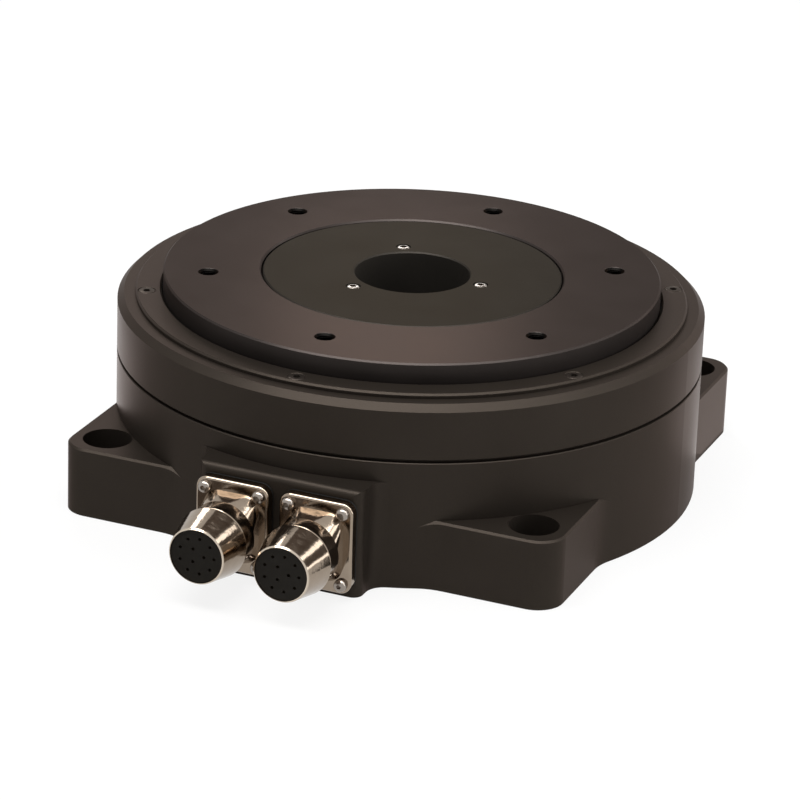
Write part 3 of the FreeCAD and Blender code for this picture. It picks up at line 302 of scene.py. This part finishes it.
def new_tree(name, sizes, vectors=()):
    """Empty node tree that takes a mesh, named sizes and directions and a finish, with its inputs."""
    tree = bpy.data.node_groups.new(name, "GeometryNodeTree")
    tree.interface.new_socket("Mesh", in_out="INPUT", socket_type="NodeSocketGeometry")
    for size in sizes:
        tree.interface.new_socket(size, in_out="INPUT", socket_type="NodeSocketFloat")
    for vector in vectors:
        tree.interface.new_socket(vector, in_out="INPUT", socket_type="NodeSocketVector")
    tree.interface.new_socket("Finish", in_out="INPUT", socket_type="NodeSocketMaterial")
    tree.interface.new_socket("Mesh", in_out="OUTPUT", socket_type="NodeSocketGeometry")
    return tree, add(tree, "NodeGroupInput").outputs


def close_tree(tree, given, instances):
    """Realise the instances, give them their finish and hand them on."""
    real = add(tree, "GeometryNodeRealizeInstances", links={"Geometry": instances}).outputs[0]
    done = add(tree, "GeometryNodeSetMaterial",
               links={"Geometry": real, "Material": given["Finish"]}).outputs[0]
    add(tree, "NodeGroupOutput", links={"Mesh": done})


def screw_tree():
    """Screw that stands on each point of a mesh, with its head's top on the point and a hexagon socket.

    The shell is drawn as rings from the tip of the shank up to the head and down into the socket.
    """
    sizes = ("Head Radius", "Head Height", "Seat Radius", "Rim", "Socket Width", "Socket Depth",
             "Shank Radius", "Shank Length")
    tree, given = new_tree("socket_screws", sizes, ("Axis",))

    # Direction of each corner of a ring from the screw's axis, and the hexagon's radius there
    spot = add(tree, "GeometryNodeInputPosition").outputs[0]
    level = add(tree, "ShaderNodeVectorMath", {"operation": "MULTIPLY"}, {1: ACROSS},
                {0: spot}).outputs[0]
    outward = add(tree, "ShaderNodeVectorMath", {"operation": "NORMALIZE"}, links={0: level}).outputs[0]
    parts = add(tree, "ShaderNodeSeparateXYZ", links={0: spot}).outputs
    angle = add(tree, "ShaderNodeMath", {"operation": "ARCTAN2"},
                links={0: parts["Y"], 1: parts["X"]}).outputs[0]
    side = add(tree, "ShaderNodeMath", {"operation": "WRAP"},
               {1: HEXAGON_TURN / 2, 2: -HEXAGON_TURN / 2}, {0: angle}).outputs[0]
    lean = add(tree, "ShaderNodeMath", {"operation": "COSINE"}, links={0: side}).outputs[0]
    half_width = add(tree, "ShaderNodeMath", {"operation": "MULTIPLY"}, {1: 0.5},
                     {0: given["Socket Width"]}).outputs[0]
    hexagon = add(tree, "ShaderNodeMath", {"operation": "DIVIDE"},
                  links={0: half_width, 1: lean}).outputs[0]

    # Radius and height of each ring, and the disc at the tip that the shell grows from
    below = {}
    for size in ("Head Height", "Rim", "Socket Depth"):
        below[size] = add(tree, "ShaderNodeMath", {"operation": "MULTIPLY"}, {1: -1.0},
                          {0: given[size]}).outputs[0]
    tip = add(tree, "ShaderNodeMath", {"operation": "SUBTRACT"},
              links={0: below["Head Height"], 1: given["Shank Length"]}).outputs[0]
    tip_place = add(tree, "ShaderNodeCombineXYZ", links={"Z": tip}).outputs[0]
    disc = add(tree, "GeometryNodeMeshCircle", {"fill_type": "NGON"}, {"Vertices": SCREW_SIDES},
               {"Radius": given["Shank Radius"]}).outputs[0]
    start = add(tree, "GeometryNodeTransform",
                links={"Geometry": disc, "Translation": tip_place}).outputs[0]
    rings = [(given["Shank Radius"], below["Head Height"]), (given["Seat Radius"], below["Head Height"]),
             (given["Head Radius"], below["Rim"])]
    for step in range(1, ROUNDING_STEPS + 1):
        turn = math.pi / 2 * step / ROUNDING_STEPS
        radius = add(tree, "ShaderNodeMath", {"operation": "MULTIPLY_ADD"}, {1: math.cos(turn) - 1},
                     {0: given["Rim"], 2: given["Head Radius"]}).outputs[0]
        height = add(tree, "ShaderNodeMath", {"operation": "MULTIPLY"}, {1: math.sin(turn) - 1},
                     {0: given["Rim"]}).outputs[0]
        rings.append((radius, height))
    head_top = rings[-1][1]
    rings += [(hexagon, head_top), (hexagon, below["Socket Depth"])]

    # Each ring grows from the one before it, and the first one from the whole disc
    shell, chosen = start, {}
    for radius, height in rings:
        grown = add(tree, "GeometryNodeExtrudeMesh", values={"Offset Scale": 0.0, "Individual": False},
                    links={"Mesh": shell, **chosen}).outputs
        outside = add(tree, "ShaderNodeVectorMath", {"operation": "SCALE"},
                      links={0: outward, "Scale": radius}).outputs[0]
        up = add(tree, "ShaderNodeCombineXYZ", links={"Z": height}).outputs[0]
        place = add(tree, "ShaderNodeVectorMath", {"operation": "ADD"},
                    links={0: outside, 1: up}).outputs[0]
        chosen = {"Selection": grown["Top"]}
        shell = add(tree, "GeometryNodeSetPosition",
                    links={"Geometry": grown["Mesh"], "Position": place, **chosen}).outputs[0]

    # The tip is closed, and only edges with a sharp bend stay crisp
    lid = add(tree, "GeometryNodeFlipFaces", links={"Mesh": start}).outputs[0]
    joined = add(tree, "GeometryNodeJoinGeometry", links={"Geometry": shell})
    tree.links.new(lid, joined.inputs["Geometry"])
    closed = add(tree, "GeometryNodeMergeByDistance", values={"Distance": WELD_DISTANCE},
                 links={"Geometry": joined.outputs[0]}).outputs[0]
    smooth = add(tree, "GeometryNodeSetShadeSmooth", {"domain": "FACE"}, {"Shade Smooth": True},
                 {"Geometry": closed}).outputs[0]
    bend = add(tree, "GeometryNodeInputMeshEdgeAngle").outputs["Unsigned Angle"]
    sharp = add(tree, "FunctionNodeCompare", {"operation": "GREATER_THAN"}, {"B": SHARP_ANGLE},
                {"A": bend}).outputs[0]
    crisp = add(tree, "GeometryNodeSetShadeSmooth", {"domain": "EDGE"}, {"Shade Smooth": False},
                {"Geometry": smooth, "Selection": sharp}).outputs[0]

    # Each screw faces along the axis, and its socket has a turn of its own
    facing = add(tree, "FunctionNodeAlignRotationToVector", {"axis": "Z"},
                 links={"Vector": given["Axis"]}).outputs[0]
    placed = add(tree, "GeometryNodeInstanceOnPoints",
                 links={"Points": given["Mesh"], "Instance": crisp, "Rotation": facing}).outputs[0]
    twist = add(tree, "FunctionNodeRandomValue", {"data_type": "FLOAT_VECTOR"},
                {"Min": (0.0, 0.0, 0.0), "Max": (0.0, 0.0, HEXAGON_TURN),
                 "Seed": TWIST_SEED}).outputs["Value"]
    twisted = add(tree, "GeometryNodeRotateInstances", values={"Local Space": True},
                  links={"Instances": placed, "Rotation": twist}).outputs[0]
    close_tree(tree, given, twisted)
    return tree


def thread_tree():
    """Thread ridges inside a hole that goes down from each point of a mesh."""
    tree, given = new_tree("hole_threads", ("Hole Radius", "Pitch", "Turns", "Ridge"))
    height = add(tree, "ShaderNodeMath", {"operation": "MULTIPLY"},
                 links={0: given["Pitch"], 1: given["Turns"]}).outputs[0]
    path = add(tree, "GeometryNodeCurveSpiral", values={"Resolution": THREAD_STEPS},
               links={"Rotations": given["Turns"], "Start Radius": given["Hole Radius"],
                      "End Radius": given["Hole Radius"], "Height": height}).outputs[0]
    ridge = add(tree, "GeometryNodeCurvePrimitiveCircle", {"mode": "RADIUS"},
                {"Resolution": RIDGE_SIDES}, {"Radius": given["Ridge"]}).outputs[0]
    coil = add(tree, "GeometryNodeCurveToMesh", values={"Fill Caps": True},
               links={"Curve": path, "Profile Curve": ridge}).outputs[0]
    down = add(tree, "ShaderNodeMath", {"operation": "MULTIPLY"}, {1: -1.0}, {0: height}).outputs[0]
    sunk = add(tree, "ShaderNodeCombineXYZ", links={"Z": down}).outputs[0]
    low = add(tree, "GeometryNodeTransform", links={"Geometry": coil, "Translation": sunk}).outputs[0]
    placed = add(tree, "GeometryNodeInstanceOnPoints",
                 links={"Points": given["Mesh"], "Instance": low}).outputs[0]
    close_tree(tree, given, placed)
    return tree


def grown_piece(name, points, tree, finish, body, **sizes):
    """Mesh that a node tree makes on points given in millimetres, as a plain piece on its body."""
    seeds = bpy.data.meshes.new(name + "_places")
    seeds.from_pydata([[value * MM for value in point] for point in points], [], [])
    piece = bpy.data.objects.new(name, seeds)
    bpy.context.scene.collection.objects.link(piece)
    grow = piece.modifiers.new("grow", "NODES")
    grow.node_group = tree
    inputs = {item.name: item.identifier for item in tree.interface.items_tree if item.in_out == "INPUT"}
    for label, value in sizes.items():
        grow[inputs[label.replace("_", " ").title()]] = value
    grow[inputs["Finish"]] = finish
    graph = bpy.context.evaluated_depsgraph_get()
    mesh = bpy.data.meshes.new_from_object(piece.evaluated_get(graph))
    piece.modifiers.remove(grow)
    piece.data = mesh
    mesh.name = name
    bpy.data.meshes.remove(seeds)
    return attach(piece, body)


def ring_of(count, radius, first_angle, level):
    """Points on a circle about the axis, in millimetres."""
    turns = [math.radians(first_angle) + math.tau * k / count for k in range(count)]
    return [(radius * math.cos(turn), radius * math.sin(turn), level) for turn in turns]


UP = (0.0, 0.0, 1.0)
DOWN = (0.0, 0.0, -1.0)
FRONT = (0.0, -1.0, 0.0)
screws = screw_tree()
threads = thread_tree()


def screw_set(name, node, points, axis, length, **sizes):
    """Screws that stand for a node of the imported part; sizes are in millimetres."""
    sizes["shank_length"] = length - sizes["head_height"]
    lengths = {label: value * MM for label, value in sizes.items()}
    slot = SLOT_OF_NODE[node]
    piece = grown_piece(name, points, screws, FINISH_OF_SLOT[slot], "base", axis=axis, **lengths)
    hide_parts(node)


# The centre disc's bright button heads
tip, top = span("centre_cover_screws", Z)
screw_set("cover_socket_screws", "centre_cover_screws",
          ring_of(3, radius=22.5, first_angle=0.0, level=top), UP, top - tip,
          head_radius=2.2, head_height=1.9, seat_radius=2.2, rim=0.9,
          socket_width=2.0, socket_depth=1.1, shank_radius=1.25)
# The thin ring's sunk heads
tip, top = span("seal_retainer_screws", Z)
screw_set("retainer_flat_screws", "seal_retainer_screws",
          ring_of(6, radius=81.1, first_angle=FIRST_HOLE_ANGLE, level=top), UP, top - tip,
          head_radius=2.7, head_height=1.3, seat_radius=1.5, rim=0.5,
          socket_width=2.0, socket_depth=0.9, shank_radius=1.5)
# The cap heads below, which hold the upper ring
bottom, tip = span("housing_screws", Z)
screw_set("housing_cap_screws", "housing_screws",
          ring_of(8, radius=84.7, first_angle=22.5, level=bottom), DOWN, tip - bottom,
          head_radius=3.5, head_height=4.0, seat_radius=3.5, rim=0.5,
          socket_width=3.0, socket_depth=2.0, shank_radius=2.0)
# The sunk heads below, which hold the centre tube
bottom, tip = span("centre_tube_screws", Z)
screw_set("tube_flat_screws", "centre_tube_screws",
          ring_of(6, radius=34.0, first_angle=0.0, level=bottom), DOWN, tip - bottom,
          head_radius=3.7, head_height=1.9, seat_radius=2.0, rim=0.1,
          socket_width=2.5, socket_depth=1.2, shank_radius=2.0)
# The pan heads at the corners of the two connector flanges
CONNECTOR_OFFSET = 13.3
CORNER_OFFSET, CORNER_RISE = 8.6, 11.2
front, tip = span("connector_screws", Y)
low, high = span("connector_screws", Z)
axis_level = (low + high) / 2
corners = [(x + dx, front, axis_level + dz) for x in (-CONNECTOR_OFFSET, CONNECTOR_OFFSET)
           for dx in (-CORNER_OFFSET, CORNER_OFFSET) for dz in (-CORNER_RISE, CORNER_RISE)]
screw_set("connector_pan_screws", "connector_screws", corners, FRONT, tip - front,
          head_radius=1.95, head_height=1.8, seat_radius=1.95, rim=1.2,
          socket_width=1.3, socket_depth=0.9, shank_radius=1.2)

# The thread starts below the chamfer of each hole's mouth
THREAD_START = 0.9
thread_points = ring_of(TABLE_HOLES, radius=TABLE_HOLE_CIRCLE, first_angle=FIRST_HOLE_ANGLE,
                        level=table_top - THREAD_START)
ridges = grown_piece("table_hole_threads", thread_points, threads, turned_black, "rotor",
                     hole_radius=TABLE_HOLE_RADIUS * MM, pitch=1.0 * MM, turns=6.0, ridge=0.16 * MM)


# Camera at the photograph's viewing angle

CAMERA_PLACE = Vector((0.43891, -1.07925, 0.50122))
CAMERA_FORWARD = Vector((-0.35016, 0.85605, -0.38022)).normalized()
CAMERA_UP = Vector((-0.17813, 0.33765, 0.92426)).normalized()
CAMERA_LENS = 182.916
SENSOR_WIDTH = 36.0
NEAREST_SEEN, FURTHEST_SEEN = 0.01, 20.0


def make_camera():
    """Camera with the place, direction and lens that were fitted to the photograph."""
    camera = bpy.data.cameras.new("camera")
    camera.lens = CAMERA_LENS
    camera.sensor_width = SENSOR_WIDTH
    camera.clip_start = NEAREST_SEEN
    camera.clip_end = FURTHEST_SEEN
    holder = bpy.data.objects.new("camera", camera)
    right = CAMERA_FORWARD.cross(CAMERA_UP)
    turned_to = Matrix((right, CAMERA_UP, -CAMERA_FORWARD)).transposed().to_4x4()
    holder.matrix_world = Matrix.Translation(CAMERA_PLACE) @ turned_to
    bpy.context.scene.collection.objects.link(holder)
    bpy.context.scene.camera = holder


make_camera()


# Light, floor and background

WHITE = (1.0, 1.0, 1.0, 1.0)
WORLD_LIGHT = 0.4
FLOOR_REACH = 6.0
FLOOR_DROP = 0.0002
FLOOR_COLOUR = "#f4f3f1"
CARD_COLOUR = "#5a514b"
PAPER_ROUGHNESS = 0.9
# The share of the floor that looks plain white grows between these two distances from the middle,
# and the rest of it shows the part's shadow
SHADOW_REACH, WHITE_REACH = 0.2, 0.6
NEAR_WHITE, FAR_WHITE = 0.85, 1.0


def soft_box(name, place, target, width, height, watts):
    """Rectangular lamp that faces a target."""
    light = bpy.data.lights.new(name, "AREA")
    light.shape = "RECTANGLE"
    light.size = width
    light.size_y = height
    light.energy = watts
    holder = bpy.data.objects.new(name, light)
    holder.location = place
    holder.rotation_euler = (Vector(target) - Vector(place)).to_track_quat("-Z", "Y").to_euler()
    bpy.context.scene.collection.objects.link(holder)
    return holder


def only_in_reflections(thing):
    """Hide a lamp or a card from the camera and from matt surfaces."""
    thing.visible_camera = False
    thing.visible_diffuse = False


def seen_directly(tree):
    """Socket that is 1 for what the camera sees, also mirrored or through glass, and 0 elsewhere."""
    rays = add(tree, "ShaderNodeLightPath").outputs
    seen = add(tree, "ShaderNodeMath", {"operation": "MAXIMUM"},
               links={0: rays["Is Camera Ray"], 1: rays["Is Glossy Ray"]}).outputs["Value"]
    return add(tree, "ShaderNodeMath", {"operation": "MAXIMUM"},
               links={0: seen, 1: rays["Is Transmission Ray"]}).outputs["Value"]


def make_world():
    """World that is white to look at and lights the part less strongly."""
    world = bpy.data.worlds.new("studio")
    world.use_nodes = True
    bpy.context.scene.world = world
    tree = world.node_tree
    sky = tree.nodes["Background"]
    sky.inputs["Color"].default_value = WHITE
    strength = add(tree, "ShaderNodeMapRange", values={"To Min": WORLD_LIGHT, "To Max": 1.0},
                   links={"Value": seen_directly(tree)}).outputs["Result"]
    tree.links.new(strength, sky.inputs["Strength"])


def make_floor():
    """White floor that keeps the part's shadow near it and is plain white further away."""
    mesh = bpy.data.meshes.new("floor")
    corners = [(x * FLOOR_REACH, y * FLOOR_REACH, 0) for x, y in ((-1, -1), (1, -1), (1, 1), (-1, 1))]
    mesh.from_pydata(corners, [], [(0, 1, 2, 3)])
    floor = bpy.data.objects.new("floor", mesh)
    floor.location.z = -FLOOR_DROP
    bpy.context.scene.collection.objects.link(floor)
    material, tree, shader = new_material("white_paper_sweep", 0.0, PAPER_ROUGHNESS, specular=0.0)
    shader.inputs["Base Color"].default_value = linear(FLOOR_COLOUR)
    glow = add(tree, "ShaderNodeEmission", values={"Color": WHITE, "Strength": 1.0}).outputs[0]
    place = add(tree, "ShaderNodeTexCoord").outputs["Object"]
    distance = add(tree, "ShaderNodeVectorMath", {"operation": "LENGTH"},
                   links={0: place}).outputs["Value"]
    white = add(tree, "ShaderNodeMapRange",
                values={"From Min": SHADOW_REACH, "From Max": WHITE_REACH,
                        "To Min": NEAR_WHITE, "To Max": FAR_WHITE},
                links={"Value": distance}).outputs["Result"]
    share = add(tree, "ShaderNodeMath", {"operation": "MULTIPLY"},
                links={0: seen_directly(tree), 1: white}).outputs["Value"]
    mixed = add(tree, "ShaderNodeMixShader", links={0: share, 1: shader.outputs[0], 2: glow}).outputs[0]
    tree.links.new(mixed, tree.nodes["Material Output"].inputs["Surface"])
    mesh.materials.append(material)


def make_card(name, corners):
    """Dark card with four corners, seen only in reflections."""
    mesh = bpy.data.meshes.new(name)
    mesh.from_pydata(corners, [], [(0, 1, 2, 3)])
    card = bpy.data.objects.new(name, mesh)
    only_in_reflections(card)
    card.visible_shadow = False
    bpy.context.scene.collection.objects.link(card)
    material, _, shader = new_material(name + "_paper", 0.0, PAPER_ROUGHNESS, specular=0.0)
    shader.inputs["Base Color"].default_value = linear(CARD_COLOUR)
    mesh.materials.append(material)


soft_box("top_soft_box", place=(-0.15, -0.3, 1.1), target=(-0.15, 0.0, 0.03),
         width=1.0, height=0.5, watts=11.0)
soft_box("right_soft_box", place=(0.75, 0.4, 0.37), target=(0.0, 0.0, 0.03),
         width=1.4, height=0.66, watts=9.0)
soft_box("left_soft_box", place=(-0.5, 0.53, 0.57), target=(0.0, -0.13, 0.03),
         width=0.22, height=0.22, watts=1.2)
# A wide strip overhead, towards the camera, which only reflections see, draws the bands on the bevels
ceiling = soft_box("ceiling_sheet", place=(0.17, -0.417, 1.2), target=(0.057, -0.139, 0.03),
                   width=2.4, height=0.5, watts=26.0)
only_in_reflections(ceiling)
# A small lamp close behind is mirrored as a soft light patch by the front of the table
soft_box("back_soft_box", place=(-0.087, 0.193, 0.185), target=(0.02, -0.065, 0.065),
         width=0.08, height=0.05, watts=0.12)
# Two sheets on the floor, which only reflections see, light the walls at the far left and far right
left_sheet = soft_box("left_floor_sheet", place=(-0.145, 0.035, 0.001), target=(-0.145, 0.035, 1.0),
                      width=0.09, height=0.13, watts=0.056)
only_in_reflections(left_sheet)
right_sheet = soft_box("right_floor_sheet", place=(0.11, 0.1, 0.001), target=(0.11, 0.1, 1.0),
                       width=0.06, height=0.1, watts=0.023)
only_in_reflections(right_sheet)

make_world()
make_floor()
# Cards behind the part, beside it and on the floor in front give the nickel its dark parts
make_card("back_dark_card", [(-0.21, 0.35, 0.42), (0.5, 0.35, 0.42),
                             (0.5, 0.35, 0.8), (-0.21, 0.35, 0.8)])
make_card("right_dark_card", [(0.625, 0.02, 0.1), (0.323, 0.42, 0.1),
                              (0.323, 0.42, 0.33), (0.625, 0.02, 0.33)])
make_card("floor_dark_card", [(-0.06, -0.168, 0.002), (0.01, -0.168, 0.002),
                              (0.01, -0.13, 0.002), (-0.06, -0.13, 0.002)])
bpy.context.scene.view_settings.view_transform = "Standard"
